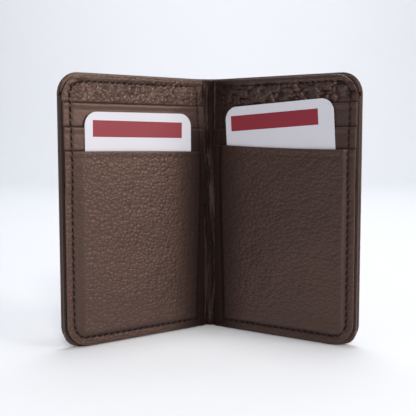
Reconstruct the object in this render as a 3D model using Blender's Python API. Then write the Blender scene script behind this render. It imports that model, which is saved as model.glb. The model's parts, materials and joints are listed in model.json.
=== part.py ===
"""A slim bifold leather card wallet, standing open on its lower edges.

Two leaves are joined by a soft spine. Each leaf is a stack of flat layers: the outer cover, a stiffener, the
lining of the bill compartment, the inner panel, and three card pockets with a label card in the front one.
Seams are continuous threads laid on the faces. Sizes are in millimetres and are written to Blender in metres.

A leaf has its own frame on its fold line. There s runs from the fold to the leaf's free edge, t runs from the
outer face of the cover inwards, and z runs up.
"""

import math

import bmesh
import bpy
from mathutils import Euler, Vector

MM = 0.001

# Driving dimensions.
HEIGHT = 110.0
LEAF_LENGTH = 67.0
LEAF_ANGLE = math.radians(35.0)  # how far each leaf is folded forward from flat
FOLD_X = 3.8  # half the distance between the two fold lines
FOLD_DEPTH = 2.5  # how deep the fold lines lie under the outer face of the cover
CORNER_RADIUS = 9.0
CORNER_STEPS = 6

# Layers of one leaf, as (back, front) in t.
COVER = (0.0, 1.0)
STIFFENER = (1.1, 1.4)
COVER_LINING = (1.5, 1.65)
COVER_HEM = (1.1, 1.5)
SEAM_HEM = (1.1, 2.7)
PANEL_HEM = (2.3, 2.7)
PANEL_LINING = (2.55, 2.7)
PANEL = (2.8, 3.5)
TOP_LINER = (3.6, 3.75)
TOP_SLOT = (3.6, 4.1)
MIDDLE_LINER = (3.9, 4.05)
MIDDLE_SLOT = (4.2, 4.7)
CARD = (4.8, 5.2)
POCKET_THICKNESS = 0.5
POCKET_BACK_LOW = 4.15  # over the two liners
POCKET_BACK_HIGH = 4.8  # over the middle slot's leather
POCKET_BACK_CARD = 5.3  # over the card

# Layers of the spine, measured in the same way from its outer face.
SPINE_COVER_HALF = 3.65
GUTTER_HALF = 3.3
SPINE_HEM = (1.1, 1.9)
GUTTER = (2.0, 2.7)

# Where things stand in a leaf.
FOLD_GAP = 0.15  # the cover's gap to the fold line
INNER_START = 0.5  # where the inner layers start
PANEL_END = LEAF_LENGTH - 0.6
POCKET_END = LEAF_LENGTH - 0.8
PANEL_TOP = HEIGHT - 0.8
HEM_WIDTH = 7.0
SLOT_TOP_EDGES = {"top": 97.8, "middle": 88.2}
SLOT_BOTTOM_EDGES = {"top": 72.0, "middle": 66.0}
LINER_BOTTOM = 3.0
POCKET_BOTTOM = 0.4
POCKET_MOUTH = {"left": (78.3, 78.7), "right": (81.2, 79.3)}  # height at the spine end and at the free end

# Seams.
THREAD_RADIUS = 0.15
THREAD_CLEARANCE = 0.1
SIDE_SEAM = LEAF_LENGTH - 3.9
BOTTOM_SEAM = 3.8
TOP_SEAM = PANEL_TOP - 2.9
COVER_TOP_SEAM = HEIGHT - 3.2
GUTTER_SEAM = 3.8
SEAM_RADIUS = 5.0
TOP_SEAM_START = 1.0

# The front pocket bulges over the card between these two s, and steps up over the middle slot's leather at this z.
POCKET_RAISED = (GUTTER_SEAM + 1.6, SIDE_SEAM - 1.1)
POCKET_STEP = SLOT_BOTTOM_EDGES["middle"] - 3.0
RAISED_FROM = BOTTOM_SEAM + 1.0
RAISED_CORNER = (58.0, 4.8)  # a point of the slanted line in (s, z) that keeps the bulge off the rounded seam
RAISED_SLOPE = 2.0

# The front pocket's grid: its columns over the card, s, and its rows between the bottom and the mouth, z.
POCKET_COLUMNS = (16.0, 27.0, 38.0, 49.0, 56.0, 60.0)
POCKET_ROWS = (BOTTOM_SEAM + 0.2, BOTTOM_SEAM + 1.2, 9.0, 13.0, 30.0, POCKET_STEP - 1.5, POCKET_STEP + 1.5, 72.0)
POCKET_ROW_GAP = 0.8  # the least height between two rows where the rounded corner lifts them
POCKET_CORNER_RISE = 8.0
STEP_REACH = 0.6  # how far above and below a thread the faces count, so that it ramps up before a step

# The label cards, which are of business-card size: centre (s, z) and tilt in the leaf's plane.
CARD_WIDTH = 50.8
CARD_LENGTH = 88.9
CARD_RADIUS = 5.0
CARD_PLACE = {"left": (32.1, 50.0, 0.0), "right": (33.7, 54.2, math.radians(3.3))}

SIDES = {"left": -1, "right": 1}

MATERIALS = {
    "cover_leather": ((0.095, 0.062, 0.050), 0.50),
    "panel_leather": ((0.105, 0.068, 0.055), 0.50),
    "pocket_leather": ((0.100, 0.064, 0.052), 0.48),
    "lining_fabric": ((0.050, 0.036, 0.031), 0.85),
    "stiffener_board": ((0.350, 0.300, 0.240), 0.90),
    "thread": ((0.028, 0.016, 0.014), 0.70),
    "card_stock": ((0.780, 0.780, 0.820), 0.55),
}


def front_to_back():
    """How far the fold lines stand behind the middle of the whole wallet."""
    rear = FOLD_DEPTH + THREAD_CLEARANCE + 2 * THREAD_RADIUS
    pocket_front = POCKET_BACK_HIGH + POCKET_THICKNESS - FOLD_DEPTH
    front = POCKET_END * math.sin(LEAF_ANGLE) + pocket_front * math.cos(LEAF_ANGLE)
    return (front - rear) / 2


def clear_scene():
    for obj in list(bpy.data.objects):
        bpy.data.objects.remove(obj, do_unlink=True)


def make_material(name):
    colour, roughness = MATERIALS[name]
    material = bpy.data.materials.new(name)
    material.use_nodes = True
    shader = material.node_tree.nodes["Principled BSDF"]
    shader.inputs["Base Color"].default_value = (*colour, 1.0)
    shader.inputs["Roughness"].default_value = roughness
    shader.inputs["Metallic"].default_value = 0.0
    return material


def make_frame(name, side):
    """The empty on a fold line (side is -1 or 1), or between the two of them (side is 0)."""
    empty = bpy.data.objects.new(name, None)
    bpy.context.scene.collection.objects.link(empty)
    empty.location = (side * FOLD_X * MM, front_to_back() * MM, 0.0)
    empty.rotation_euler = Euler((0.0, 0.0, -side * LEAF_ANGLE))
    return empty


def local_point(side, s, t, z):
    """A point of a leaf or of the spine in its frame, in metres."""
    return Vector(((side or 1) * s, FOLD_DEPTH - t, z)) * MM


def rounded_outline(low, high, radii):
    """A rectangle from low to high in (s, z), anticlockwise from its low corner, with a radius for each corner."""
    (s0, z0), (s1, z1) = low, high
    corners = [(s0, z0, 1, 1), (s1, z0, -1, 1), (s1, z1, -1, -1), (s0, z1, 1, -1)]
    points = []
    for turn, ((s, z, along, up), radius) in enumerate(zip(corners, radii)):
        if radius == 0:
            points.append((s, z))
            continue
        centre = (s + along * radius, z + up * radius)
        start = math.pi + turn * math.pi / 2
        for step in range(CORNER_STEPS + 1):
            angle = start + step / CORNER_STEPS * math.pi / 2
            points.append((centre[0] + radius * math.cos(angle), centre[1] + radius * math.sin(angle)))
    return points


def finish_mesh(name, bm, frame, material):
    bmesh.ops.recalc_face_normals(bm, faces=bm.faces)
    mesh = bpy.data.meshes.new(name)
    bm.to_mesh(mesh)
    bm.free()
    mesh.set_sharp_from_angle(angle=math.radians(30))
    mesh.materials.append(bpy.data.materials[material])
    obj = bpy.data.objects.new(name, mesh)
    bpy.context.scene.collection.objects.link(obj)
    obj.parent = frame
    return obj


def plate(name, frame, side, outline, layer, material):
    """A flat layer: the outline in (s, z), extruded from the layer's back to its front."""
    bm = bmesh.new()
    back = [bm.verts.new(local_point(side, s, layer[0], z)) for s, z in outline]
    bm.faces.new(back)
    extruded = bmesh.ops.extrude_face_region(bm, geom=bm.faces[:])
    moved = [item for item in extruded["geom"] if isinstance(item, bmesh.types.BMVert)]
    bmesh.ops.translate(bm, verts=moved, vec=(0.0, (layer[0] - layer[1]) * MM, 0.0))
    return finish_mesh(name, bm, frame, material)


def lofted_sheet(name, frame, side, columns, heights_at, back_at, thickness, material):
    """A sheet that isn't flat: a grid over the columns s and the heights that heights_at(s) gives."""
    bm = bmesh.new()
    rows = len(heights_at(columns[0]))
    layers = []
    for offset in (0.0, thickness):
        grid = []
        for s in columns:
            line = []
            for z in heights_at(s):
                line.append(bm.verts.new(local_point(side, s, back_at(s, z) + offset, z)))
            grid.append(line)
        layers.append(grid)
        for i in range(len(columns) - 1):
            for j in range(rows - 1):
                bm.faces.new((grid[i][j], grid[i + 1][j], grid[i + 1][j + 1], grid[i][j + 1]))
    rim = [(i, 0) for i in range(len(columns))]
    rim += [(len(columns) - 1, j) for j in range(1, rows)]
    rim += [(i, rows - 1) for i in range(len(columns) - 2, -1, -1)]
    rim += [(0, j) for j in range(rows - 2, 0, -1)]
    back, front = layers
    for (i, j), (k, m) in zip(rim, rim[1:] + rim[:1]):
        bm.faces.new((back[i][j], back[k][m], front[k][m], front[i][j]))
    return finish_mesh(name, bm, frame, material)


def thread(name, frame, side, points):
    """A continuous thread through the points (s, t, z)."""
    curve = bpy.data.curves.new(name, "CURVE")
    curve.dimensions = "3D"
    curve.bevel_depth = THREAD_RADIUS * MM
    curve.bevel_resolution = 1
    curve.use_fill_caps = True
    spline = curve.splines.new("POLY")
    spline.points.add(len(points) - 1)
    for point, (s, t, z) in zip(spline.points, points):
        point.co = (*local_point(side, s, t, z), 1.0)
    curve.materials.append(bpy.data.materials["thread"])
    obj = bpy.data.objects.new(name, curve)
    bpy.context.scene.collection.objects.link(obj)
    obj.parent = frame
    return obj


def pocket_mouth_height(side_name, s):
    at_spine, at_edge = POCKET_MOUTH[side_name]
    share = (s - INNER_START) / (POCKET_END - INNER_START)
    return at_spine + share * (at_edge - at_spine)


def pocket_back(s, z):
    """The front pocket's back face: low at its seams, and raised over the card and the slots behind it."""
    over_card = POCKET_RAISED[0] <= s <= POCKET_RAISED[1] and z > RAISED_FROM
    if over_card and z - RAISED_CORNER[1] > RAISED_SLOPE * (s - RAISED_CORNER[0]):
        return POCKET_BACK_CARD
    return POCKET_BACK_HIGH if z > POCKET_STEP else POCKET_BACK_LOW


def front_surface(side_name, s, z):
    """The t of the front face that shows at (s, z) of a leaf."""
    if z > SLOT_TOP_EDGES["top"]:
        return PANEL[1]
    if z > SLOT_TOP_EDGES["middle"]:
        return TOP_SLOT[1]
    if z > pocket_mouth_height(side_name, s):
        return MIDDLE_SLOT[1]
    return pocket_back(s, z) + POCKET_THICKNESS


def front_pocket(side_name, frame, side):
    """The lofted front pocket, open at its mouth, with its corner cut to a slope inside the round one."""
    columns = [INNER_START, GUTTER_SEAM + 0.3, POCKET_RAISED[0], *POCKET_COLUMNS]
    columns += [POCKET_RAISED[1], SIDE_SEAM - 0.3, POCKET_END]

    def heights_at(s):
        inset = max(0.0, s - (POCKET_END - CORNER_RADIUS))
        rise = CORNER_RADIUS - math.sqrt(max(CORNER_RADIUS**2 - inset**2, 0.0))
        bottom = POCKET_BOTTOM + min(rise, POCKET_CORNER_RISE)
        lifted = [max(row, bottom + POCKET_ROW_GAP * (k + 1)) for k, row in enumerate(POCKET_ROWS)]
        return [bottom, *lifted, pocket_mouth_height(side_name, s)]

    return lofted_sheet(
        side_name + "_front_pocket", frame, side, columns, heights_at, pocket_back, POCKET_THICKNESS, "pocket_leather"
    )


def label_card(side_name, frame, side):
    centre_s, centre_z, tilt = CARD_PLACE[side_name]
    half = (CARD_WIDTH / 2, CARD_LENGTH / 2)
    outline = []
    for across, up in rounded_outline((-half[0], -half[1]), half, [CARD_RADIUS] * 4):
        s = centre_s + across * math.cos(tilt) - up * math.sin(tilt)
        z = centre_z + across * math.sin(tilt) + up * math.cos(tilt)
        outline.append((s, z))
    plate(side_name + "_label_card", frame, side, outline, CARD, "card_stock")


def on_front(side_name, path):
    """The path (s, z) laid on the front faces, with a ramp wherever it steps from one layer to another."""
    laid = []
    lift = THREAD_CLEARANCE + THREAD_RADIUS
    for s, z in path:
        height = max(front_surface(side_name, s, z + off) for off in (-STEP_REACH, 0.0, STEP_REACH))
        laid.append((s, height + lift, z))
    return laid


def seam_levels(side_name, s):
    """Heights along an upright seam, from bottom to top, close together where it climbs a step."""
    steps = [pocket_mouth_height(side_name, s), SLOT_TOP_EDGES["middle"], SLOT_TOP_EDGES["top"]]
    levels = [30.0, POCKET_STEP - 2.0, POCKET_STEP]
    for step in steps:
        levels += [step + 0.4, step + 1.2]
    return levels


def seam_corner(centre, start):
    """A quarter turn of the seam from the angle start, anticlockwise in (s, z)."""
    points = []
    for step in range(CORNER_STEPS + 1):
        angle = start + step / CORNER_STEPS * math.pi / 2
        points.append((centre[0] + SEAM_RADIUS * math.cos(angle), centre[1] + SEAM_RADIUS * math.sin(angle)))
    return points


def perimeter_path(top, levels):
    """Along the bottom from the gutter, round the free edge's two corners, and back along the top."""
    centre_s = SIDE_SEAM - SEAM_RADIUS
    path = [(GUTTER_SEAM + 1.0, BOTTOM_SEAM), (GUTTER_SEAM + 20.0, BOTTOM_SEAM)]
    path += seam_corner((centre_s, BOTTOM_SEAM + SEAM_RADIUS), -math.pi / 2)
    path += [(SIDE_SEAM, z) for z in levels]
    path += seam_corner((centre_s, top - SEAM_RADIUS), 0.0)
    path += [(GUTTER_SEAM + 20.0, top), (TOP_SEAM_START, top)]
    return path


def build_leaf(side_name, side):
    frame = make_frame(side_name + "_leaf_frame", side)
    radius = CORNER_RADIUS
    hem_end = LEAF_LENGTH - 0.4
    hem_start = hem_end - HEM_WIDTH + 0.4
    inner_radius = HEM_WIDTH - 0.6

    def add(name, low, high, radii, layer, material):
        plate(f"{side_name}_{name}", frame, side, rounded_outline(low, high, radii), layer, material)

    add("cover", (FOLD_GAP, 0.0), (LEAF_LENGTH, HEIGHT), (0, radius, radius, 0), COVER, "cover_leather")
    lined = ((INNER_START + 0.5, HEM_WIDTH + 0.5), (hem_start - 0.3, PANEL_TOP - HEM_WIDTH - 1.0))
    add("cover_stiffener", *lined, (0, 0, 0, 0), STIFFENER, "stiffener_board")
    add("cover_lining", *lined, (0, 0, 0, 0), COVER_LINING, "lining_fabric")
    add("panel_lining", *lined, (0, 0, 0, 0), PANEL_LINING, "lining_fabric")
    seam_low = (INNER_START, POCKET_BOTTOM)
    add("bottom_seam_hem", seam_low, (hem_end, HEM_WIDTH), (0, inner_radius, 0, 0), SEAM_HEM, "cover_leather")
    side_low = (hem_start, HEM_WIDTH + 0.2)
    add("side_seam_hem", side_low, (hem_end, PANEL_TOP - radius), (0, 0, 0, 0), SEAM_HEM, "cover_leather")
    hem_low = PANEL_TOP - HEM_WIDTH - 0.4
    cover_hem_high = (hem_end, HEIGHT - 0.3)
    add("cover_top_hem", (FOLD_GAP, hem_low), cover_hem_high, (0, 0, radius - 2.0, 0), COVER_HEM, "cover_leather")
    panel_hem_high = (PANEL_END - 0.3, PANEL_TOP - 0.2)
    add("panel_top_hem", (INNER_START, hem_low), panel_hem_high, (0, 0, radius - 2.0, 0), PANEL_HEM, "panel_leather")
    add("panel", (INNER_START, 0.0), (PANEL_END, PANEL_TOP), (0, radius, radius, 0), PANEL, "panel_leather")

    for slot, layer, liner_layer in (("top", TOP_SLOT, TOP_LINER), ("middle", MIDDLE_SLOT, MIDDLE_LINER)):
        low, high = SLOT_BOTTOM_EDGES[slot], SLOT_TOP_EDGES[slot]
        add(slot + "_slot", (INNER_START, low), (POCKET_END, high), (0, 0, 0, 0), layer, "pocket_leather")
        liner_high = (POCKET_END - 0.6, low - 0.2)
        liner_radii = (0, radius - 1.0, 0, 0)
        liner_low = (INNER_START + 1.0, LINER_BOTTOM)
        add(slot + "_slot_liner", liner_low, liner_high, liner_radii, liner_layer, "lining_fabric")

    front_pocket(side_name, frame, side)
    label_card(side_name, frame, side)

    around = perimeter_path(TOP_SEAM, seam_levels(side_name, SIDE_SEAM))
    thread(side_name + "_perimeter_thread", frame, side, on_front(side_name, around))
    upright = [BOTTOM_SEAM, *seam_levels(side_name, GUTTER_SEAM), TOP_SEAM - 1.0]
    gutter = on_front(side_name, [(GUTTER_SEAM, z) for z in upright])
    thread(side_name + "_gutter_thread", frame, side, gutter)
    outside = -THREAD_CLEARANCE - THREAD_RADIUS
    cover_path = perimeter_path(COVER_TOP_SEAM, [HEIGHT / 2])
    thread(side_name + "_cover_thread", frame, side, [(s, outside, z) for s, z in cover_path])


def build_spine():
    frame = make_frame("spine_frame", 0)

    def add(name, half, low, high, layer, material):
        outline = rounded_outline((-half, low), (half, high), (0, 0, 0, 0))
        plate(name, frame, 0, outline, layer, material)

    add("spine_cover", SPINE_COVER_HALF, 0.0, HEIGHT, COVER, "cover_leather")
    add("spine_lining", GUTTER_HALF - 0.3, HEM_WIDTH + 0.5, HEIGHT - HEM_WIDTH - 1.5, COVER_LINING, "lining_fabric")
    add("spine_seam_hem", GUTTER_HALF - 0.3, POCKET_BOTTOM, HEM_WIDTH, SPINE_HEM, "cover_leather")
    add("gutter_panel", GUTTER_HALF, 0.0, PANEL_TOP, GUTTER, "panel_leather")
    lift = THREAD_CLEARANCE + THREAD_RADIUS
    crossing = (-2.0, 0.0, 2.0)
    thread("gutter_top_thread", frame, 0, [(x, GUTTER[1] + lift, TOP_SEAM) for x in crossing])
    thread("spine_cover_thread", frame, 0, [(1.6 * x, -lift, COVER_TOP_SEAM) for x in crossing])


def main():
    clear_scene()
    for name in MATERIALS:
        make_material(name)
    build_spine()
    for side_name, side in SIDES.items():
        build_leaf(side_name, side)


main()
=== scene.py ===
"""The bifold wallet's visible surface: bent leather sheets with turned edges, grain and single stitches.

Lengths are in millimetres until a mesh is written. Two systems of coordinates are used. A sheet has u, along
it from the middle of the spine, t, inwards from the cover's outer face, and z, upwards. On the flat part of a
leaf, s = u - FOLD_U is the distance from the leaf's fold line, as in the CAD model.
"""

import json
import math

import bmesh
import bpy
import numpy as np
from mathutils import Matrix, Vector


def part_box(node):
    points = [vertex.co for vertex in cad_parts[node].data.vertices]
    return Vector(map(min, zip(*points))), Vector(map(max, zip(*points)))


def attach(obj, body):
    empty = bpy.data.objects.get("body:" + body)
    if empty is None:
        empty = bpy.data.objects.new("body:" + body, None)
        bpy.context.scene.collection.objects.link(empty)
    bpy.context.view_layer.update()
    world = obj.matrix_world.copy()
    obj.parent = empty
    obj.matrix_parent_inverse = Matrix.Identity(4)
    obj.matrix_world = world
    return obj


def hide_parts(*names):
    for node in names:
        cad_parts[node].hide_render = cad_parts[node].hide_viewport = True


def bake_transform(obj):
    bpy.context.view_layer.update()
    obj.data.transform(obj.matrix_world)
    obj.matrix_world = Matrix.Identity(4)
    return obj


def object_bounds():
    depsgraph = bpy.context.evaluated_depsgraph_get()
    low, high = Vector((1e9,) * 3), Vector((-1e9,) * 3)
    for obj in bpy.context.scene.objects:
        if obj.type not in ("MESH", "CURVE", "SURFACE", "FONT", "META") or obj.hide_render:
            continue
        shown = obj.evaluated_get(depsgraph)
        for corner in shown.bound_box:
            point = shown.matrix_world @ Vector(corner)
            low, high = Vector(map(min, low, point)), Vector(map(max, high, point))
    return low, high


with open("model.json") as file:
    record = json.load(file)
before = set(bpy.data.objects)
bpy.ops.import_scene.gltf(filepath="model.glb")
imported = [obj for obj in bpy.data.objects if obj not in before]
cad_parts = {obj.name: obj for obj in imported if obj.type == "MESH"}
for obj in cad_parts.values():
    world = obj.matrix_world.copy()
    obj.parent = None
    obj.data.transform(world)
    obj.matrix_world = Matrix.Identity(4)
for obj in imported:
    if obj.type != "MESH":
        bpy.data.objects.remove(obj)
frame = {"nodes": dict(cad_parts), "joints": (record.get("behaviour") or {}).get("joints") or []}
CAD_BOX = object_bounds()

MM = 0.001
SIDES = {"left": -1, "right": 1}

# What the frame says, in millimetres.
JOINTS = {joint["name"]: joint for joint in frame["joints"]}
FOLD_X = JOINTS["right_fold"]["pos_m"][0] / MM
FOLD_Y = JOINTS["right_fold"]["pos_m"][1] / MM
LEAF_ANGLE = -math.radians(JOINTS["left_fold"]["range_deg"][0])
SPINE_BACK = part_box("spine_cover")[1].y / MM
FOLD_DEPTH = SPINE_BACK - FOLD_Y
HEIGHT = CAD_BOX[1].z / MM
PANEL_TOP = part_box("left_panel")[1].z / MM
TOP_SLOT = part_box("left_top_slot")[1].z / MM
MIDDLE_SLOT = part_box("left_middle_slot")[1].z / MM
SLOT_BOTTOM = {"top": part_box("left_top_slot")[0].z / MM, "middle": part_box("left_middle_slot")[0].z / MM}
POCKET_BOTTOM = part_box("left_front_pocket")[0].z / MM


def length_on_leaf(node, depth):
    """The s of the far end of a node that reaches the leaf's free edge, at a depth of its face."""
    reach = -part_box(node)[0].x / MM - FOLD_X
    return (reach - (FOLD_DEPTH - depth) * math.sin(LEAF_ANGLE)) / math.cos(LEAF_ANGLE)


# The rounded spine: a flat strip, an arc and then the flat leaf.
ARC_RADIUS = 12.5
SPINE_FLAT = FOLD_X + (FOLD_DEPTH - ARC_RADIUS) * math.tan(LEAF_ANGLE / 2)
ARC_LENGTH = ARC_RADIUS * LEAF_ANGLE
ARC_REACH = SPINE_FLAT + ARC_RADIUS * math.sin(LEAF_ANGLE)
FOLD_U = SPINE_FLAT + ARC_LENGTH - (
    (ARC_REACH - FOLD_X - FOLD_DEPTH * math.sin(LEAF_ANGLE)) / math.cos(LEAF_ANGLE)
)

# Layers, as depths t of their front faces, and their ends on the leaf.
COVER_FRONT = 1.0
PANEL_BACK, PANEL_FRONT, GUTTER_FRONT = 2.75, 3.5, 2.75
TOP_SLOT_FRONT = 4.1
MIDDLE_SLOT_FRONT = 4.7
CARD_BACK, CARD_FRONT = 4.8, 5.15
POCKET_FRONT_LOW, POCKET_FRONT_MOUTH, POCKET_FRONT_CARD = 4.7, 5.2, 5.75
COVER_END = length_on_leaf("left_cover", 0.0)
PANEL_END = length_on_leaf("left_panel", 2.8)
POCKET_END = PANEL_END - 0.2
POCKET_START = {"left": -2.2, "right": -1.3}
CARD_END = {"left": 58.5, "right": 61.3}
CORNER = 9.0
PANEL_CORNER = 10.0
COVER_ROUND, PANEL_ROUND, POCKET_ROUND = 0.5, 0.38, 0.35  # roundings of the turned edges
MOUTH = {"left": (78.2, 78.8), "right": (81.4, 79.4)}  # height at the spine end and at the free end

# Turned hems: where they start and end, s, and their depths and heights.
HEM_START, HEM_END = 1.0, COVER_END - 0.5
HEM_ROUND = 0.18
HEMS = {
    "cover_top_hem": ((1.1, 1.5), HEIGHT - 8.2, HEIGHT - 0.3, True),
    "panel_top_hem": ((2.25, 2.65), HEIGHT - 8.2, PANEL_TOP - 0.35, True),
    "bottom_seam_hem": ((1.1, 2.65), 0.4, 7.0, False),
}

# Seams, in s and z.
PITCH = 2.8
STITCH_RADIUS = 0.34
COVER_STITCH_DEPTH = 0.16
SIDE_SEAM = COVER_END - 3.9
BOTTOM_SEAM = 3.7
TOP_SEAM = PANEL_TOP - 2.9
COVER_TOP_SEAM = HEIGHT - 3.2
GUTTER_SEAM = {"left": (2.9, 0.5, 2.0), "right": (4.3, 2.4, 4.8)}  # s at the bottom, the middle and the top
GUTTER_BOW_Z = 68.0
RUMPLE = {"left": 0.14, "right": 0.42}  # how much the panel's top band is creased, and how dark the painted shade in its creases is
SEAM_CORNER = 5.5
SHADE_LIFTED_AT_TOP = {"left": 0.75, "right": 0.0}  # how much of the painted shade beside the spine is lifted at the top, where more light falls on the leaf


# Noise on arrays

def hashed(i, j, seed):
    """A number from 0 to 1 for each pair of whole numbers."""
    mixed = np.sin(i * 127.1 + j * 311.7 + seed * 74.7) * 43758.5453
    return mixed - np.floor(mixed)


def smooth(low, high, x):
    t = np.clip((x - low) / (high - low), 0.0, 1.0)
    return t * t * (3 - 2 * t)


def value_noise(x, y, seed=0):
    """Smooth noise from -1 to 1 with a cell of 1."""
    i, j = np.floor(x), np.floor(y)
    fx, fy = smooth(0, 1, x - i), smooth(0, 1, y - j)
    low = hashed(i, j, seed) * (1 - fx) + hashed(i + 1, j, seed) * fx
    high = hashed(i, j + 1, seed) * (1 - fx) + hashed(i + 1, j + 1, seed) * fx
    return 2 * (low * (1 - fy) + high * fy) - 1


def pebbles(x, y, seed=0):
    """Leather grain from 0 in the creases to 1 on the pebbles, with a pebble of about 1."""
    shift_x = 0.35 * value_noise(x * 0.9, y * 0.9, seed + 5)
    shift_y = 0.35 * value_noise(x * 0.9, y * 0.9, seed + 9)
    x, y = x + shift_x, y + shift_y
    i, j = np.floor(x), np.floor(y)
    nearest = np.full(x.shape, 9.0)
    second = np.full(x.shape, 9.0)
    for di in (-1, 0, 1):
        for dj in (-1, 0, 1):
            px = i + di + hashed(i + di, j + dj, seed)
            py = j + dj + hashed(i + di, j + dj, seed + 31)
            far = np.hypot(px - x, py - y)
            second = np.minimum(second, np.maximum(nearest, far))
            nearest = np.minimum(nearest, far)
    return smooth(0.0, 0.45, second - nearest)


# Seam paths and the dents that they make

def corner_arc(centre, start):
    steps = [start + k / 6 * math.pi / 2 for k in range(7)]
    return [(centre[0] + SEAM_CORNER * math.cos(a), centre[1] + SEAM_CORNER * math.sin(a)) for a in steps]


def perimeter_path(first_s, top, last_s):
    """Along the bottom, round the two corners at the free edge and back along the top."""
    path = [(first_s, BOTTOM_SEAM)]
    path += corner_arc((SIDE_SEAM - SEAM_CORNER, BOTTOM_SEAM + SEAM_CORNER), -math.pi / 2)
    path += corner_arc((SIDE_SEAM - SEAM_CORNER, top - SEAM_CORNER), 0.0)
    return path + [(last_s, top)]


def stitches_along(path):
    """The stitches' holes along a path, spaced evenly at about the pitch."""
    path = np.array(path, float)
    steps = np.hypot(*np.diff(path, axis=0).T)
    along = np.concatenate(([0.0], np.cumsum(steps)))
    count = max(int(round(along[-1] / PITCH)), 1)
    marks = np.linspace(0.0, along[-1], count + 1)
    return np.stack([np.interp(marks, along, path[:, k]) for k in (0, 1)], axis=1)


def gutter_seam(side_name, z):
    """The s of the upright row beside the spine, which bows towards the spine in the middle."""
    at_bottom, at_middle, at_top = GUTTER_SEAM[side_name]
    rise = (1 - smooth(0.0, GUTTER_BOW_Z, z)) * (at_bottom - at_middle)
    return at_middle + rise + smooth(GUTTER_BOW_Z, TOP_SEAM, z) * (at_top - at_middle)


def panel_seams(side_name):
    heights = np.linspace(BOTTOM_SEAM - 0.8, TOP_SEAM - 1.4, 24)
    upright = [(float(gutter_seam(side_name, z)), z) for z in heights]
    return {
        "perimeter": stitches_along(perimeter_path(upright[0][0], TOP_SEAM, -2.2)),
        "gutter": stitches_along(upright),
    }


def dents(s, z, seams, depth):
    """How far the stitches pull the leather in at (s, z), at most the depth."""
    pulled = np.zeros(s.shape)
    for holes in seams:
        flat_s, flat_z = s.ravel(), z.ravel()
        best = np.full(flat_s.shape, 99.0)
        line = np.full(flat_s.shape, 99.0)
        for a, b in zip(holes[:-1], holes[1:]):
            run = b - a
            share = ((flat_s - a[0]) * run[0] + (flat_z - a[1]) * run[1]) / (run @ run)
            share = np.clip(share, 0, 1)
            line = np.minimum(line, np.hypot(flat_s - a[0] - share * run[0], flat_z - a[1] - share * run[1]))
        for hole in holes:
            best = np.minimum(best, np.hypot(flat_s - hole[0], flat_z - hole[1]))
        dent = 0.5 * np.exp(-((line / 0.6) ** 2)) + 0.5 * np.exp(-((best / 0.7) ** 2))
        pulled = np.maximum(pulled, dent.reshape(s.shape))
    return depth * pulled


# Meshes

def place(side, u, t, z):
    """Points of a bent sheet in the row frame, in metres."""
    angle = np.clip((u - SPINE_FLAT) / ARC_RADIUS, 0.0, LEAF_ANGLE)
    beyond = np.maximum(u - SPINE_FLAT - ARC_LENGTH, 0.0)
    x = np.minimum(u, SPINE_FLAT) + ARC_RADIUS * np.sin(angle) + beyond * math.cos(LEAF_ANGLE)
    y = SPINE_BACK - ARC_RADIUS * (1 - np.cos(angle)) - beyond * math.sin(LEAF_ANGLE)
    x, y = x - t * np.sin(angle), y - t * np.cos(angle)
    return np.stack([side * x, y, z], axis=-1) * MM


def link_mesh(name, points, faces, uvs, values=None, wall_faces=()):
    mesh = bpy.data.meshes.new(name)
    mesh.from_pydata(points.tolist(), [], faces)
    mesh.validate()
    layer = mesh.uv_layers.new(name="UVMap")
    corner_vertices = np.zeros(len(mesh.loops), int)
    mesh.loops.foreach_get("vertex_index", corner_vertices)
    layer.data.foreach_set("uv", uvs[corner_vertices].astype(np.float32).ravel())
    for key, value in (values or {}).items():
        attribute = mesh.attributes.new(key, "FLOAT", "POINT")
        attribute.data.foreach_set("value", value.astype(np.float32))
    mesh.shade_smooth()
    if len(wall_faces):
        flat = set(wall_faces)
        for polygon in mesh.polygons:
            polygon.use_smooth = polygon.index not in flat
        mesh.set_sharp_from_angle(angle=math.radians(70))
    obj = bpy.data.objects.new(name, mesh)
    bpy.context.scene.collection.objects.link(obj)
    return obj


def orient(obj):
    """Turns the faces of a closed mesh outwards."""
    bm = bmesh.new()
    bm.from_mesh(obj.data)
    bmesh.ops.recalc_face_normals(bm, faces=bm.faces)
    if bm.calc_volume(signed=True) < 0:
        bmesh.ops.reverse_faces(bm, faces=bm.faces)
    bm.to_mesh(obj.data)
    bm.free()
    return obj


def edge_steps(radius):
    """Distances from a turned edge at which its rounding needs points."""
    return radius * (1 - np.cos(np.linspace(0, math.pi / 2, 5)))


def grid_lines(first, last, step, radius, both=True):
    """Grid lines with extra ones inside the rounding of each turned edge."""
    lines = [last - edge_steps(radius)]
    if both:
        lines.append(first + edge_steps(radius))
        first += radius
    count = max(int(round((last - radius - first) / step)), 1)
    lines.append(np.linspace(first, last - radius, count + 1))
    merged = np.unique(np.round(np.concatenate(lines), 4))
    keep = np.concatenate(([True], np.diff(merged) > 0.01))
    return merged[keep]


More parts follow.
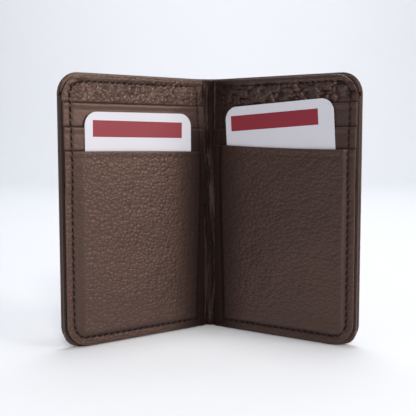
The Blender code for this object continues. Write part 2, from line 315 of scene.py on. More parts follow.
def sheet(name, side, columns, rows, low, high, front, back, distance, radius, seams, spine_wall=False,
          shaded=None):
    """A closed leather sheet over the columns u.

    rows are shares from 0 to 1 between low(u) and high(u). front and back give the depths of the two faces,
    and distance gives how far a point is from the nearest turned edge, where the sheet is rounded to the
    radius. shaded gives the painted shade on the leather, from 0 to 1.
    """
    u = np.repeat(columns[:, None], len(rows), axis=1)
    z = low(u) + rows[None, :] * (high(u) - low(u))
    near = np.clip(distance(u, z) / radius, 0.0, 1.0)
    profile = np.sqrt(np.maximum(1 - (1 - near) ** 2, 0.0))
    outer, inner = front(u, z), back(u, z)
    middle = (outer + inner) / 2
    front_t = middle + (outer - middle) * profile
    back_t = middle + (inner - middle) * profile
    n, m = u.shape
    index = np.arange(n * m).reshape(n, m)
    points = np.concatenate([place(side, u, depth, z).reshape(-1, 3) for depth in (front_t, back_t)])
    back_index = index + n * m
    border = np.zeros((n, m), bool)
    border[-1, :] = border[:, 0] = border[:, -1] = True
    border[0, :] = border[0, :] | (not spine_wall)
    back_index = np.where(border, index, back_index)
    faces = []
    for grid, flip in ((index, False), (back_index, True)):
        a, b, c, d = grid[:-1, :-1], grid[1:, :-1], grid[1:, 1:], grid[:-1, 1:]
        quads = np.stack([a, d, c, b] if flip else [a, b, c, d], axis=-1).reshape(-1, 4)
        faces.append(quads)
    walls = []
    if spine_wall:
        a, b = index[0, :-1], index[0, 1:]
        c, d = back_index[0, 1:], back_index[0, :-1]
        walls = [list(dict.fromkeys(quad)) for quad in np.stack([a, b, c, d], axis=-1).tolist()]
        walls = [quad for quad in walls if len(quad) > 2]
    body = [list(dict.fromkeys(quad)) for quad in np.concatenate(faces).tolist()]
    body = [quad for quad in body if len(quad) > 2]
    uvs = np.stack([side * u, z], axis=-1).reshape(-1, 2)
    uvs = np.concatenate([uvs, uvs])
    # Paler turned edges: partly wear and partly a painted highlight where the rounded edge catches the light.
    wear_and_highlight = np.exp(-((distance(u, z) / (radius * 1.6)) ** 2)) * smooth(columns[0] + 0.5, columns[0] + 2.5, u)
    wear_and_highlight = wear_and_highlight.ravel()
    wear_and_highlight = np.concatenate([wear_and_highlight, wear_and_highlight])
    # The pulled mask: darker at the seams, partly dirt in the stitch lines and partly painted shade in their
    # grooves, with the painted shade from shaded laid over it.
    pulled = dents(u - FOLD_U, z, seams, 0.45)
    if shaded:
        pulled = np.maximum(pulled, shaded(u, z))
    pulled = pulled.ravel()
    pulled = np.concatenate([pulled, pulled])
    wall_faces = range(len(body), len(body) + len(walls))
    used = np.unique(np.concatenate([np.array(quad) for quad in body + walls]))
    renumber = np.full(len(points), -1)
    renumber[used] = np.arange(len(used))
    faces = [[int(renumber[k]) for k in quad] for quad in body + walls]
    values = {"wear_and_highlight": wear_and_highlight[used], "pulled": pulled[used]}
    obj = link_mesh(name, points[used], faces, uvs[used], values, wall_faces)
    return orient(obj)


def rounded_ends(end, bottom, top, radius):
    """low(u), high(u) and distance(u, z) of a sheet whose two corners at u = end are rounded."""
    def rise(u):
        inset = np.clip(u - (end - radius), 0.0, radius)
        return radius - np.sqrt(np.maximum(radius**2 - inset**2, 0.0))

    def low(u):
        return bottom + rise(u)

    def high(u):
        return top - rise(u)

    def distance(u, z):
        away = np.minimum(np.minimum(z - bottom, top - z), end - u)
        over = u - (end - radius)
        for centre, sign in ((bottom + radius, -1), (top - radius, 1)):
            beyond = sign * (z - centre)
            round_part = radius - np.hypot(np.maximum(over, 0), np.maximum(beyond, 0))
            away = np.where((over > 0) & (beyond > 0), round_part, away)
        return np.maximum(away, 0.0)

    return low, high, distance


# Shapes of the layers

def gutter_share(side, u):
    """1 in the gutter between the two leaves' pockets and 0 beyond it."""
    end = FOLD_U + POCKET_START["left" if side < 0 else "right"]
    return 1 - smooth(end - 0.3, end + 1.3, u)


def gutter_folds(side, u, z):
    """The upright folds of the panel's leather where it bends at the spine."""
    x = side * u
    bend = 1.5 * value_noise(x * 0.08 + 3, z * 0.035, 4) + 0.6 * value_noise(x * 0.2, z * 0.11, 8)
    across = x + bend
    ridges = 1 - np.abs(value_noise(across * 0.62, z * 0.022, 12)) * 2.2
    fine = 1 - np.abs(value_noise(across * 1.25, z * 0.06, 13)) * 2.0
    cracks = value_noise(across * 2.6, z * 0.22, 14)
    pinch = 1 + 0.5 * smooth(TOP_SEAM - 10, TOP_SEAM, z)
    height = 0.45 + 0.72 * pinch * (0.80 * ridges + 0.45 * fine + 0.12 * cracks)
    ends = smooth(-1.5, 5.0, z) * (1 - 0.8 * smooth(TOP_SEAM - 1.5, PANEL_TOP, z))
    return gutter_share(side, u) * ends * np.maximum(height, -0.2)


def band_creases(side, u, z):
    """0 along the creases of the panel's top band, rising to 1 between them."""
    across = side * u * 0.34 + 0.5 * value_noise(side * u * 0.5, z * 0.5, 6)
    return np.abs(value_noise(across + 0.10 * z, z * 0.52, 3))


def panel_face(side_name, side):
    seams = list(panel_seams(side_name).values())

    def front(u, z):
        s = u - FOLD_U
        base = GUTTER_FRONT + (PANEL_FRONT - GUTTER_FRONT) * smooth(0.5, FOLD_U + 2.0, u)
        strong = smooth(TOP_SLOT - 1, TOP_SLOT + 2, z) * (1 - smooth(TOP_SEAM - 0.3, TOP_SEAM + 1.2, z))
        strong = strong * smooth(FOLD_U, FOLD_U + 3, u)
        strong = strong * (1 - smooth(SIDE_SEAM + FOLD_U - 1, SIDE_SEAM + FOLD_U, u))
        grain = pebbles(side * u / 1.75, z / 1.45, 2) - 0.5
        rumple = RUMPLE[side_name] * (2 * smooth(0.0, 0.5, band_creases(side, u, z)) - 1.3)
        roll = 0.30 * np.exp(-(((PANEL_TOP - z) - 1.3) / 0.9) ** 2)
        edge_roll = 0.12 * np.exp(-(((PANEL_END + FOLD_U - u) - 1.4) / 1.0) ** 2)
        face = base + strong * (0.38 * grain + rumple) + roll + edge_roll + gutter_folds(side, u, z)
        return face - dents(s, z, seams, 0.32)

    return front


def spine_shade(side_name, u, z):
    """Painted shade beside the spine, where the other leaf shades the leather, with less of it at the top,
    where more light falls.
    """
    lightened = SHADE_LIFTED_AT_TOP[side_name] * smooth(MIDDLE_SLOT - 8.0, TOP_SLOT - 2.0, z)
    return (1.0 - lightened) * (1.0 - smooth(FOLD_U - 2.0, FOLD_U + 20.0, u))


def under_edge(above):
    """The painted shadow on the leather at a height above the edge of the layer that lies on it."""
    return 0.9 * np.exp(-((np.maximum(above, 0.0) / 0.75) ** 2))


def strip_face(side_name, side, level, top):
    seams = list(panel_seams(side_name).values())

    def front(u, z):
        s = u - FOLD_U
        roll = 0.14 * np.exp(-(((top - z) - 0.9) / 0.6) ** 2)
        crease = 0.10 * np.exp(-(((top - z) - 2.6) / 0.5) ** 2)
        drape = 0.10 * value_noise(side * u * 0.13 + 7, z * 0.17, 21)
        drape = drape + 0.02 * value_noise(u * 0.9, z * 0.9, 22)
        return level + roll - crease + drape - dents(s, z, seams, 0.30)

    return front


def mouth_height(side_name, u):
    at_spine, at_edge = MOUTH[side_name]
    share = np.clip((u - FOLD_U) / POCKET_END, 0.0, 1.0)
    return at_spine + (at_edge - at_spine) * (1 - (1 - share) ** 2)


def pocket_level(side_name, s, z):
    """The front pocket's depth before its grain and folds: low at its seams and full over the card."""
    gutter = gutter_seam(side_name, z)
    level = POCKET_FRONT_LOW + (POCKET_FRONT_MOUTH - POCKET_FRONT_LOW) * smooth(60.0, 66.0, z)
    full = smooth(gutter, gutter + 2.2, s) * (1 - smooth(CARD_END[side_name], SIDE_SEAM - 0.2, s))
    full = full * smooth(BOTTOM_SEAM, BOTTOM_SEAM + 2.2, z)
    return level + (POCKET_FRONT_CARD - level) * full, full


def pocket_face(side_name, side):
    seams = list(panel_seams(side_name).values())

    def front(u, z):
        s = u - FOLD_U
        gutter = gutter_seam(side_name, z)
        below = mouth_height(side_name, u) - z
        level, full = pocket_level(side_name, s, z)
        roll = 0.16 * np.exp(-((below - 0.9) / 0.6) ** 2) - 0.10 * np.exp(-((below - 2.9) / 0.5) ** 2)
        grainy = smooth(2.6, 4.2, below) * smooth(gutter - 1, gutter + 2, s)
        grain = value_noise(side * u / 2.2, z / 1.9, 41)
        drape = 0.30 + 0.22 * value_noise(side * u * 0.05 + 2, z * 0.05, 42)
        drape = drape + 0.08 * value_noise(u * 0.17, z * 0.16, 43)
        return level + roll + grainy * 0.05 * grain + drape * full - dents(s, z, seams, 0.34)

    return front


def cover_face(side):
    """The cover's outer face, as a depth below 0 where it swells out."""
    seams = [cover_seam()]

    def back(u, z):
        s = u - FOLD_U
        grain = pebbles(side * u / 1.6, z / 1.45, 61) - 0.5
        drape = 0.12 * value_noise(side * u * 0.05 + 5, z * 0.05, 62)
        spine = 1 - smooth(3.0, FOLD_U + 2.0, u)
        across = side * u * 0.7 + 0.6 * value_noise(u * 0.2, z * 0.1, 65)
        creases = spine * 0.16 * np.abs(value_noise(across, z * 0.05, 66))
        return 0.05 - 0.07 * grain - drape * 0.5 + creases + dents(s, z, seams, 0.30)

    return back


def cover_seam():
    return stitches_along(perimeter_path(0.5 - FOLD_U, COVER_TOP_SEAM, 0.5 - FOLD_U))


# Pieces

def cover_piece(side_name, side):
    end = COVER_END + FOLD_U
    low, high, distance = rounded_ends(end, 0.0, HEIGHT, CORNER)
    columns = grid_lines(0.0, end, 0.8, COVER_ROUND, both=False)
    rows = grid_lines(0.0, HEIGHT, 0.8, COVER_ROUND) / HEIGHT

    def front(u, z):
        return COVER_FRONT + 0 * u

    obj = sheet(side_name + "_cover_leather", side, columns, rows, low, high, front, cover_face(side),
                distance, COVER_ROUND, [cover_seam()], spine_wall=True)
    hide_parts(side_name + "_cover", *(["spine_cover"] if side > 0 else []))
    return obj


def panel_piece(side_name, side):
    end = PANEL_END + FOLD_U
    low, high, distance = rounded_ends(end, 0.15, PANEL_TOP, PANEL_CORNER)
    near_spine = grid_lines(0.0, FOLD_U + 4.0, 0.36, 0.3, both=False)
    on_leaf = grid_lines(FOLD_U + 4.0, end, 0.6, PANEL_ROUND, both=False)
    columns = np.unique(np.concatenate([near_spine, on_leaf]))
    below = grid_lines(0.0, TOP_SLOT - 2.0, 1.1, 0.3)
    top_band = grid_lines(TOP_SLOT - 2.0, PANEL_TOP, 0.5, PANEL_ROUND)
    rows = np.unique(np.concatenate([below, top_band])) / PANEL_TOP
    front = panel_face(side_name, side)

    def back(u, z):
        return front(u, z) - (PANEL_FRONT - PANEL_BACK)

    # Painted shade for the panel: a painted shadow above the top slot's edge, shade in the gutter and beside
    # the spine, and shade in the top band's creases.
    def shaded(u, z):
        pockets_start = POCKET_START[side_name] + FOLD_U
        covered = smooth(pockets_start - 0.5, pockets_start + 0.5, u)
        share = gutter_share(side, u)
        # Painted shade in the gutter's valleys, with less of it on the ridges.
        valleys = np.clip(1.10 - 0.60 * gutter_folds(side, u, z), 0.45, 1.0)
        beside = share * valleys + (1 - share) * spine_shade(side_name, u, z)
        # Painted shade along the creases of the top band.
        in_crease = 1 - smooth(0.02, 0.22, band_creases(side, u, z))
        creases = 2.0 * RUMPLE[side_name] * covered * in_crease * smooth(TOP_SLOT, TOP_SLOT + 2, z)
        creases = creases * (1 - smooth(TOP_SEAM - 1.0, TOP_SEAM, z))
        return np.maximum(np.maximum(under_edge(z - TOP_SLOT) * covered, beside), creases)

    obj = sheet(side_name + "_panel_leather", side, columns, rows, low, high, front, back, distance,
                PANEL_ROUND, list(panel_seams(side_name).values()), spine_wall=True, shaded=shaded)
    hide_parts(side_name + "_panel", *(["gutter_panel"] if side > 0 else []))
    return obj


def strip_piece(side_name, side, slot, top, level, below):
    """A slot's leather with its front at a level, over a layer whose front is below."""
    start, end = POCKET_START[side_name] + FOLD_U, POCKET_END + FOLD_U
    bottom = SLOT_BOTTOM[slot]

    def low(u):
        return bottom + 0 * u

    def high(u):
        return top + 0 * u

    def distance(u, z):
        away = np.minimum(np.minimum(z - bottom, top - z), np.minimum(u - start, end - u))
        return np.maximum(away, 0.0)

    def back(u, z):
        return below + 0 * u

    # Painted shadow above the edge of the layer that lies on the strip, and painted shade beside the spine.
    def shaded(u, z):
        above = z - (MIDDLE_SLOT if slot == "top" else mouth_height(side_name, u))
        return np.maximum(under_edge(above), spine_shade(side_name, u, z))

    columns = grid_lines(start, end, 0.6, POCKET_ROUND)
    rows = (grid_lines(bottom, top, 0.6, POCKET_ROUND) - bottom) / (top - bottom)
    front = strip_face(side_name, side, level, top)
    name = f"{side_name}_{slot}_slot"
    seams = list(panel_seams(side_name).values())
    obj = sheet(name + "_leather", side, columns, rows, low, high, front, back, distance, POCKET_ROUND, seams,
                shaded=shaded)
    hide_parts(name)
    return obj


def pocket_piece(side_name, side):
    start, end = POCKET_START[side_name] + FOLD_U, POCKET_END + FOLD_U
    bottom = POCKET_BOTTOM
    radius = PANEL_CORNER - 0.3

    def low(u):
        inset = np.clip(u - (end - radius), 0.0, radius)
        return bottom + radius - np.sqrt(np.maximum(radius**2 - inset**2, 0.0))

    def high(u):
        return mouth_height(side_name, u)

    def distance(u, z):
        away = np.minimum(np.minimum(z - bottom, high(u) - z), np.minimum(u - start, end - u))
        over, beyond = u - (end - radius), bottom + radius - z
        round_part = radius - np.hypot(np.maximum(over, 0), np.maximum(beyond, 0))
        away = np.where((over > 0) & (beyond > 0), round_part, away)
        return np.maximum(away, 0.0)

    front = pocket_face(side_name, side)

    def back(u, z):
        return front(u, z) - 0.5

    columns = grid_lines(start, end, 0.55, POCKET_ROUND)
    rows = grid_lines(0.0, MOUTH[side_name][0], 0.55, POCKET_ROUND) / MOUTH[side_name][0]
    seams = list(panel_seams(side_name).values())
    # The pocket gets the painted shade beside the spine.
    obj = sheet(side_name + "_pocket_leather", side, columns, rows, low, high, front, back, distance,
                POCKET_ROUND, seams, shaded=lambda u, z: spine_shade(side_name, u, z))
    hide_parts(side_name + "_front_pocket")
    return obj


def hem_piece(side_name, side, node, layer, bottom, top, at_top):
    """A turned hem between two depths. Its corner at the free end follows the leaf's own corner."""
    start, end = HEM_START + FOLD_U, HEM_END + FOLD_U
    radius = top - bottom - 0.6

    def rise(u):
        inset = np.clip(u - (end - radius), 0.0, radius)
        return radius - np.sqrt(np.maximum(radius**2 - inset**2, 0.0))

    def low(u):
        return bottom + (0 * u if at_top else rise(u))

    def high(u):
        return top - (rise(u) if at_top else 0 * u)

    def distance(u, z):
        away = np.minimum(np.minimum(z - low(u), high(u) - z), np.minimum(u - start, end - u))
        return np.maximum(away, 0.0)

    columns = grid_lines(start, end, 0.9, HEM_ROUND)
    rows = grid_lines(0.0, top - bottom, 1.1, HEM_ROUND) / (top - bottom)
    name = f"{side_name}_{node}"
    obj = sheet(name + "_leather", side, columns, rows, low, high, lambda u, z: layer[1] + 0 * u,
                lambda u, z: layer[0] + 0 * u, distance, HEM_ROUND, [])
    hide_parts(name)
    return obj


# Stitches

def stitch_mesh(name, side, holes, surface, lift, slant, outward=1):
    """One slanted thread for each pair of neighbouring holes, sunk into the leather at both ends."""
    rings, around = 7, 6
    points, faces, uvs = [], [], []
    for k, (a, b) in enumerate(zip(holes[:-1], holes[1:])):
        run = (b - a) / np.hypot(*(b - a))
        cross = np.array([-run[1], run[0]])
        wobble = 0.06 * math.sin(k * 2.4)
        first = a + STITCH_RADIUS * run + slant * cross
        last = b - STITCH_RADIUS * run - slant * cross
        base = len(points)
        for i in range(rings):
            share = i / (rings - 1)
            centre = first + (last - first) * share + wobble * cross * math.sin(math.pi * share)
            depth = surface(centre[0], centre[1])
            arch = math.sin(math.pi * share)
            height = depth + outward * (lift * arch**0.6 - 0.22 * (1 - arch) ** 2)
            thick = STITCH_RADIUS * (0.62 + 0.38 * arch**0.5)
            for j in range(around):
                turn = 2 * math.pi * j / around
                offset = cross * math.cos(turn) * thick
                point = centre + offset
                t = height + 0.8 * thick * math.sin(turn)
                points.append((point[0] + FOLD_U, t, point[1]))
                uvs.append((share * 2.2 + 3.1 * k, j / around))
        for i in range(rings - 1):
            for j in range(around):
                one, two = base + i * around + j, base + i * around + (j + 1) % around
                faces.append([one, two, two + around, one + around])
        faces.append([base + j for j in range(around)])
        faces.append([base + (rings - 1) * around + j for j in range(around)])
    points = np.array(points)
    placed = place(side, points[:, 0], points[:, 1], points[:, 2])
    obj = link_mesh(name, placed, faces, np.array(uvs))
    return orient(obj)


def visible_depth(side_name):
    """The depth of the face that shows at a point of a leaf, before the stitches pull it in."""
    def depth(s, z):
        u = s + FOLD_U
        if z > TOP_SLOT or s < POCKET_START[side_name]:
            return GUTTER_FRONT + (PANEL_FRONT - GUTTER_FRONT) * float(smooth(0.5, FOLD_U + 2.0, u))
        if z > MIDDLE_SLOT:
            return TOP_SLOT_FRONT
        if z > mouth_height(side_name, u):
            return MIDDLE_SLOT_FRONT
        return float(pocket_level(side_name, s, z)[0])

    return depth


def seam_pieces(side_name, side):
    depth = visible_depth(side_name)

    def pulled(s, z):
        return depth(s, z) - 0.12

    seams = panel_seams(side_name)
    around = seams["perimeter"]
    on_leaf = around[around[:, 0] > 0.8]
    perimeter = stitch_mesh(side_name + "_perimeter_stitches", side, on_leaf, pulled, 0.14, 0.20)
    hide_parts(side_name + "_perimeter_thread")
    gutter = stitch_mesh(side_name + "_gutter_stitches", side, seams["gutter"], pulled, 0.10, 0.08)
    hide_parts(side_name + "_gutter_thread")
    outside = cover_seam()
    outside = outside[outside[:, 0] > 0.8]
    cover = stitch_mesh(
        side_name + "_cover_stitches", side, outside, lambda s, z: COVER_STITCH_DEPTH, 0.06, 0.16, outward=-1
    )
    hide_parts(side_name + "_cover_thread")
    for piece in (perimeter, gutter, cover):
        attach(piece, side_name + "_leaf")
    return [perimeter, gutter, cover]


def spine_stitches():
    """The stitches that cross the spine at the top, inside and outside."""
    def wide(u_from, u_to, z):
        return stitches_along([(u_from - FOLD_U, z), (u_to - FOLD_U, z)])

    inside = stitch_mesh(
        "spine_top_stitches", 1, wide(-4.2, 4.2, TOP_SEAM), lambda s, z: GUTTER_FRONT + 0.1, 0.12, 0.16
    )
    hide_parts("gutter_top_thread")
    outside = stitch_mesh(
        "spine_cover_stitches", 1, wide(-4.2, 4.2, COVER_TOP_SEAM), lambda s, z: COVER_STITCH_DEPTH,
        0.06, 0.16, outward=-1,
    )
    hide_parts("spine_cover_thread")
    for piece in (inside, outside):
        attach(piece, "spine")
    return [inside, outside]


# Label cards

def card_outline(half_width, half_length, radius):
    points = []
    for quarter, (across, up) in enumerate(((1, 1), (-1, 1), (-1, -1), (1, -1))):
        for k in range(9):
            angle = quarter * math.pi / 2 + k / 8 * math.pi / 2
            points.append((
                across * (half_width - radius) + radius * math.cos(angle),
                up * (half_length - radius) + radius * math.sin(angle),
            ))
    return points


def leaf_place(side, s, t, z):
    """A point on the flat leaf, in metres in the row frame."""
    x = FOLD_X + s * math.cos(LEAF_ANGLE) + (FOLD_DEPTH - t) * math.sin(LEAF_ANGLE)
    y = FOLD_Y - s * math.sin(LEAF_ANGLE) + (FOLD_DEPTH - t) * math.cos(LEAF_ANGLE)
    return Vector((side * x, y, z)) * MM


CARD = {"width": 50.8, "length": 88.9, "radius": 5.5}
CARD_PLACE = {"left": (32.1, 50.0, 0.0), "right": (33.7, 54.2, math.radians(3.3))}  # centre (s, z) and tilt
BAND = {  # centre (s, z), width, height and tilt of the printed band
    "left": (32.75, 87.6, 42.5, 6.6, math.radians(0.6)),
    "right": (29.5, 91.35, 41.2, 6.5, math.radians(3.3)),
}


def flat_piece(name, side, outline, centre, tilt, layer, bevel):
    """A thin plate on the leaf with the outline around its centre, turned by the tilt."""
    bm = bmesh.new()
    vertices = []
    for across, up in outline:
        s = centre[0] + across * math.cos(tilt) - up * math.sin(tilt)
        z = centre[1] + across * math.sin(tilt) + up * math.cos(tilt)
        vertices.append(bm.verts.new(leaf_place(side, s, layer[0], z)))
    bm.faces.new(vertices)
    extruded = bmesh.ops.extrude_face_region(bm, geom=bm.faces[:])
    moved = [item for item in extruded["geom"] if isinstance(item, bmesh.types.BMVert)]
    shift = leaf_place(side, 0, layer[1], 0) - leaf_place(side, 0, layer[0], 0)
    bmesh.ops.translate(bm, verts=moved, vec=shift)
    bmesh.ops.recalc_face_normals(bm, faces=bm.faces)
    rim = [edge for edge in bm.edges if edge.calc_face_angle(0) > 1.0]
    if bevel:
        bmesh.ops.bevel(bm, geom=rim, offset=bevel * MM, segments=2, affect="EDGES")
    mesh = bpy.data.meshes.new(name)
    bm.to_mesh(mesh)
    bm.free()
    mesh.shade_smooth()
    mesh.set_sharp_from_angle(angle=math.radians(40))
    obj = bpy.data.objects.new(name, mesh)
    bpy.context.scene.collection.objects.link(obj)
    return obj


def label_card(side_name, side):
    centre_s, centre_z, tilt = CARD_PLACE[side_name]
    outline = card_outline(CARD["width"] / 2, CARD["length"] / 2, CARD["radius"])
    card = flat_piece(
        side_name + "_card", side, outline, (centre_s, centre_z), tilt, (CARD_BACK, CARD_FRONT), 0.08
    )
    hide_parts(side_name + "_label_card")
    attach(card, side_name + "_card")
    band_s, band_z, width, height, band_tilt = BAND[side_name]
    corners = [(x * width / 2, y * height / 2) for x, y in ((-1, -1), (1, -1), (1, 1), (-1, 1))]
    layer = (CARD_FRONT - 0.05, CARD_FRONT + 0.02)
    band = flat_piece(side_name + "_card_band", side, corners, (band_s, band_z), band_tilt, layer, 0)
    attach(band, side_name + "_card")
    return card, band


# Materials

class Shader:
    """A Principled material that is built node by node."""

    def __init__(self, name):
        self.material = bpy.data.materials.new(name)
        self.material.use_nodes = True
        self.tree = self.material.node_tree
        self.bsdf = self.tree.nodes["Principled BSDF"]

    def node(self, kind, inputs=None, **settings):
        made = self.tree.nodes.new(kind)
        for key, value in settings.items():
            setattr(made, key, value)
        for key, value in (inputs or {}).items():
            if isinstance(value, bpy.types.NodeSocket):
                self.tree.links.new(value, made.inputs[key])
            else:
                made.inputs[key].default_value = value
        return made

    def link(self, source, socket):
        self.tree.links.new(source, self.bsdf.inputs[socket])

    def coordinates(self, scale):
        """The sheet's own u and z in millimetres, scaled."""
        uv = self.node("ShaderNodeTexCoord").outputs["UV"]
        return self.node("ShaderNodeMapping", {"Vector": uv, "Scale": scale}).outputs["Vector"]

    def noise(self, vector, scale, detail):
        inputs = {"Vector": vector, "Scale": scale, "Detail": detail}
        return self.node("ShaderNodeTexNoise", inputs).outputs["Fac"]

    def bump(self, height, strength, distance):
        """Bumps the surface by a height, over a distance in metres."""
        made = self.node("ShaderNodeBump", {"Height": height, "Strength": strength, "Distance": distance})
        self.link(made.outputs["Normal"], "Normal")

    def ramp(self, source, stops):
        ramp = self.node("ShaderNodeValToRGB", {"Fac": source})
        elements = ramp.color_ramp.elements
        while len(elements) < len(stops):
            elements.new(0.5)
        for element, (position, colour) in zip(elements, stops):
            element.position = position
            element.color = (*colour, 1.0)
        return ramp.outputs["Color"]

    def mix(self, share, first, second, blend="MIX"):
        mixed = self.node("ShaderNodeMix", {0: share}, data_type="RGBA", blend_type=blend)
        for socket, value in ((6, first), (7, second)):
            if isinstance(value, bpy.types.NodeSocket):
                self.tree.links.new(value, mixed.inputs[socket])
            else:
                mixed.inputs[socket].default_value = (*value, 1.0)
        return mixed.outputs[2]

    def math(self, operation, first, second):
        made = self.node("ShaderNodeMath", operation=operation)
        for k, value in enumerate((first, second)):
            if isinstance(value, bpy.types.NodeSocket):
                self.tree.links.new(value, made.inputs[k])
            else:
                made.inputs[k].default_value = value
        return made.outputs[0]


def leather(name, dark, light, pebble, grain_depth, rough=0.43):
    """Leather with pebbles of a size in millimetres. Its turned edges are paler, partly from wear and partly
    as a painted highlight, and it is darker at its seams and where the pulled mask carries painted shade.
    """
    shader = Shader(name)
    millimetres = shader.coordinates((0.85, 1.0, 1.0))
    warp = shader.node("ShaderNodeTexNoise", {"Vector": millimetres, "Scale": 0.45, "Detail": 2.0})
    warped = shader.node(
        "ShaderNodeVectorMath", {0: warp.outputs["Color"], 1: (0.9, 0.9, 0.9)}, operation="MULTIPLY"
    )
    shifted = shader.node(
        "ShaderNodeVectorMath", {0: warped.outputs[0], 1: millimetres}, operation="ADD"
    ).outputs[0]
    grid = {"Vector": shifted, "Scale": 1.0 / pebble}
    cells = shader.node("ShaderNodeTexVoronoi", grid, feature="DISTANCE_TO_EDGE").outputs["Distance"]
    centres = shader.node(
        "ShaderNodeTexVoronoi", {**grid, "Smoothness": 0.6}, feature="SMOOTH_F1"
    ).outputs["Distance"]
    broad = shader.noise(millimetres, 0.05, 2.0)
    fine = shader.noise(millimetres, 2.4, 3.0)
    flanks = shader.ramp(cells, [(0.0, (0, 0, 0)), (0.10, (0.7, 0.7, 0.7)), (0.30, (1, 1, 1))])
    domes = shader.math("SUBTRACT", 1.0, shader.math("MULTIPLY", centres, centres))
    base = shader.mix(shader.ramp(broad, [(0.25, (0, 0, 0)), (0.75, (1, 1, 1))]), dark, light)
    creased = shader.math("MULTIPLY", shader.math("SUBTRACT", 1.0, flanks), 0.35)
    lined = shader.mix(creased, base, tuple(0.35 * c for c in dark))
    # Paler turned edges: partly wear and partly a painted highlight.
    wear_and_highlight = shader.node("ShaderNodeAttribute", attribute_name="wear_and_highlight").outputs["Fac"]
    lightened = shader.math("MULTIPLY", wear_and_highlight, shader.math("MULTIPLY", fine, 1.1))
    paler = shader.mix(lightened, lined, tuple(min(2.2 * c, 1.0) for c in light))
    # The pulled mask darkens the colour: dirt and painted shade at the seams, painted shade beside the spine,
    # in the gutter and in creases, and painted shadows above the edges of layers.
    pulled = shader.node("ShaderNodeAttribute", attribute_name="pulled").outputs["Fac"]
    colour = shader.mix(shader.math("MULTIPLY", pulled, 0.75), paler, tuple(0.25 * c for c in dark))
    shader.link(colour, "Base Color")
    height = shader.math("ADD", shader.math("MULTIPLY", domes, 0.55), shader.math("MULTIPLY", flanks, 0.16))
    height = shader.math("ADD", height, shader.math("MULTIPLY", fine, 0.12))
    upright = shader.noise(shader.coordinates((1.3, 0.16, 1.0)), 1.0, 4.0)
    folded = shader.math("MULTIPLY", shader.math("MAXIMUM", shader.math("SUBTRACT", pulled, 0.55), 0.0), 2.2)
    height = shader.math("ADD", height, shader.math("MULTIPLY", upright, folded))
    shader.bump(height, grain_depth, 0.00042)
    roughness = shader.math("ADD", shader.math("MULTIPLY", fine, 0.16), rough - 0.08)
    shader.link(shader.math("ADD", roughness, shader.math("MULTIPLY", pulled, 0.35)), "Roughness")
    shader.bsdf.inputs["Specular IOR Level"].default_value = 1.0
    # The specular tint is darkened by the same painted shade, which dims the reflection there.
    sheen = shader.mix(shader.math("MULTIPLY", pulled, 0.85), (1.0, 0.68, 0.57), (0.06, 0.04, 0.03))
    shader.link(sheen, "Specular Tint")
    return shader.material


def thread_material():
    shader = Shader("waxed_thread")
    along = shader.coordinates((1.0, 1.0, 1.0))
    twist = shader.node(
        "ShaderNodeTexWave", {"Vector": along, "Scale": 1.4, "Distortion": 1.0}, bands_direction="DIAGONAL"
    )
    colour = shader.mix(twist.outputs["Fac"], (0.006, 0.0022, 0.0024), (0.022, 0.008, 0.009))
    shader.link(colour, "Base Color")
    shader.bump(twist.outputs["Fac"], 0.5, 0.0001)
    shader.bsdf.inputs["Roughness"].default_value = 0.62
    shader.bsdf.inputs["Specular IOR Level"].default_value = 0.2
    return shader.material


def card_material(name, colour, rough):
    shader = Shader(name)
    place_on = shader.node("ShaderNodeTexCoord").outputs["Object"]
    fibres = shader.noise(place_on, 900.0, 3.0)
    clouds = shader.noise(place_on, 60.0, 2.0)
    tint = shader.mix(shader.math("MULTIPLY", clouds, 0.35), colour, tuple(0.90 * c for c in colour))
    shader.link(tint, "Base Color")
    shader.bump(fibres, 0.12, 0.00005)
    shader.link(shader.math("ADD", shader.math("MULTIPLY", fibres, 0.15), rough), "Roughness")
    return shader.material


def woven_material(name, colour, threads):
    """Plain weave for the linings, or board where threads is small."""
    shader = Shader(name)
    place_on = shader.node("ShaderNodeTexCoord").outputs["Object"]
    across = shader.node("ShaderNodeTexWave", {"Vector": place_on, "Scale": threads}, bands_direction="X")
    upright = shader.node("ShaderNodeTexWave", {"Vector": place_on, "Scale": threads}, bands_direction="Z")
    weave = shader.math("MULTIPLY", across.outputs["Fac"], upright.outputs["Fac"])
    shader.link(shader.mix(weave, tuple(0.6 * c for c in colour), colour), "Base Color")
    shader.bump(weave, 0.4, 0.0001)
    shader.bsdf.inputs["Roughness"].default_value = 0.85
    return shader.material


def plain_leather(name, colour):
    """Leather for CAD plates, which have no u and z of their own."""
    shader = Shader(name)
    place_on = shader.node("ShaderNodeTexCoord").outputs["Object"]
    cells = shader.node(
        "ShaderNodeTexVoronoi", {"Vector": place_on, "Scale": 700.0}, feature="DISTANCE_TO_EDGE"
    ).outputs["Distance"]
    domes = shader.ramp(cells, [(0.0, (0, 0, 0)), (0.28, (1, 1, 1))])
    shader.link(shader.mix(domes, tuple(0.6 * c for c in colour), colour), "Base Color")
    shader.bump(domes, 0.3, 0.0001)
    shader.bsdf.inputs["Roughness"].default_value = 0.5
    return shader.material


def paint(obj, material):
    if not obj.material_slots:
        obj.data.materials.append(material)
    for slot in obj.material_slots:
        slot.material = material


# The wallet

DARK_BROWN = (0.0245, 0.0114, 0.0086)
BROWN = (0.0325, 0.0157, 0.0120)
WORN_BROWN = (0.0310, 0.0170, 0.0132)
# The panel's paler brown: partly its own tone, partly painted light for the brighter top band.
PALE_BROWN = (0.0460, 0.0262, 0.0205)

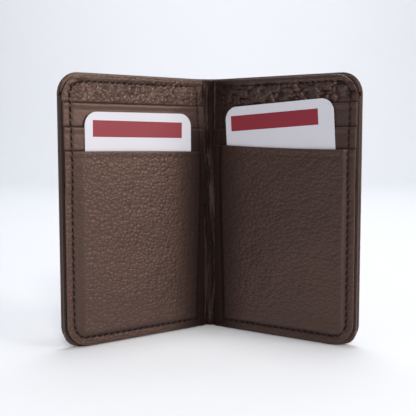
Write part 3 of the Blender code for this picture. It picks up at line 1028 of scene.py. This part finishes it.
SKINS = {
    "cover": leather("cover_grain", DARK_BROWN, BROWN, 1.5, 0.9),
    "panel": leather("panel_grain", DARK_BROWN, PALE_BROWN, 1.65, 1.0, 0.35),
    "strip": leather("strip_grain", DARK_BROWN, WORN_BROWN, 1.5, 0.25),
    "pocket": leather("pocket_grain", DARK_BROWN, BROWN, 1.45, 0.78),
    "thread": thread_material(),
    "card": card_material("card_paper", (0.72, 0.71, 0.77), 0.45),
    "band": card_material("band_print", (0.27, 0.018, 0.034), 0.40),
    "lining": woven_material("lining_weave", (0.045, 0.032, 0.028), 900.0),
    "board": woven_material("stiffener_fibre", (0.32, 0.27, 0.21), 120.0),
    "hem": plain_leather("hem_leather", (0.060, 0.036, 0.029)),
}


def bend_with_fold(piece):
    """Bakes a sheet's transform into its mesh; the sheet was already bent at the spine when it was built."""
    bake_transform(piece)


def build_wallet():
    for side_name, side in SIDES.items():
        sheets = [
            (cover_piece(side_name, side), "cover", "cover_leather"),
            (panel_piece(side_name, side), "panel", "panel_leather"),
            (strip_piece(side_name, side, "top", TOP_SLOT, TOP_SLOT_FRONT, PANEL_FRONT - 0.1),
             "strip", "pocket_leather"),
            (strip_piece(side_name, side, "middle", MIDDLE_SLOT, MIDDLE_SLOT_FRONT, TOP_SLOT_FRONT - 0.1),
             "strip", "pocket_leather"),
            (pocket_piece(side_name, side), "pocket", "pocket_leather"),
        ]
        for node, (layer, bottom, top, at_top) in HEMS.items():
            slot = "panel_leather" if node.startswith("panel") else "cover_leather"
            sheets.append((hem_piece(side_name, side, node, layer, bottom, top, at_top), "strip", slot))
        for piece, skin, slot in sheets:
            paint(piece, SKINS[skin])
            bend_with_fold(piece)
        for piece in seam_pieces(side_name, side):
            paint(piece, SKINS["thread"])
        card, band = label_card(side_name, side)
        paint(card, SKINS["card"])
        paint(band, SKINS["band"])
    for piece in spine_stitches():
        paint(piece, SKINS["thread"])


def paint_kept_nodes():
    """Materials for the CAD nodes that still show: linings, stiffeners and hems."""
    for name, node in frame["nodes"].items():
        if node.hide_render:
            continue
        if "stiffener" in name:
            paint(node, SKINS["board"])
        elif "hem" in name:
            paint(node, SKINS["hem"])
        else:
            paint(node, SKINS["lining"])


# Stage, light and camera

def floor_sweep():
    """A pale floor that curves up into a backdrop."""
    width, front, turn, top = 2.4, -1.2, 1.1, 1.8
    profile = [(front, 0.0)]
    profile += [(turn + 0.5 * math.sin(a), 0.5 - 0.5 * math.cos(a)) for a in np.linspace(0, math.pi / 2, 13)]
    profile.append((turn + 0.5, top))
    points = [(x, y, z) for x in (-width / 2, width / 2) for y, z in profile]
    count = len(profile)
    faces = [[k, k + 1, k + 1 + count, k + count] for k in range(count - 1)]
    obj = link_mesh("floor_sweep", np.array(points), faces, np.zeros((len(points), 2)))
    shader = Shader("pale_paper")
    place_on = shader.node("ShaderNodeTexCoord").outputs["Object"]
    soft = shader.node("ShaderNodeTexNoise", {"Vector": place_on, "Scale": 3.0}).outputs["Fac"]
    shader.link(shader.mix(soft, (0.90, 0.905, 0.93), (0.92, 0.925, 0.945)), "Base Color")
    shader.bsdf.inputs["Roughness"].default_value = 0.9
    paint(obj, shader.material)


def area_light(name, place_at, target, size, power, colour):
    lamp = bpy.data.lights.new(name, "AREA")
    lamp.shape = "DISK"
    lamp.size = size
    lamp.energy = power
    lamp.color = colour
    obj = bpy.data.objects.new(name, lamp)
    bpy.context.scene.collection.objects.link(obj)
    obj.location = place_at
    obj.rotation_euler = (Vector(target) - Vector(place_at)).to_track_quat("-Z", "Y").to_euler()
    return obj


def light_stage():
    middle = (0.0, 0.0, 0.05)
    area_light("key", (0.15, -1.05, 0.80), middle, 0.30, 6.0, (1.0, 0.96, 0.91))
    area_light("gloss", (1.12, -0.50, 0.42), middle, 0.5, 5.9, (1.0, 0.94, 0.87))
    area_light("top", (0.1, 0.1, 1.3), middle, 0.6, 7.3, (0.98, 0.99, 1.0))
    area_light("back", (0.1, 0.7, 1.2), (0.0, 1.5, 0.4), 0.9, 6.5, (0.96, 0.97, 1.0))
    world = bpy.data.worlds.new("studio")
    world.use_nodes = True
    background = world.node_tree.nodes["Background"]
    background.inputs["Color"].default_value = (0.80, 0.88, 1.0, 1.0)
    background.inputs["Strength"].default_value = 0.29
    bpy.context.scene.world = world
    bpy.context.scene.view_settings.view_transform = "Standard"


def aim_camera():
    """Level with the upper third of the wallet, a little to the left, looking slightly down."""
    yaw, pitch = -0.0186, math.radians(5.15)
    camera = bpy.data.cameras.new("camera")
    camera.sensor_width = 36.0
    camera.lens = 64.1
    obj = bpy.data.objects.new("camera", camera)
    bpy.context.scene.collection.objects.link(obj)
    obj.location = Vector((-6.4, SPINE_BACK - 331.5, 82.7)) * MM
    obj.rotation_euler = (math.pi / 2 - pitch, 0.0013, yaw)
    bpy.context.scene.camera = obj


aim_camera()
build_wallet()
paint_kept_nodes()
floor_sweep()
light_stage()
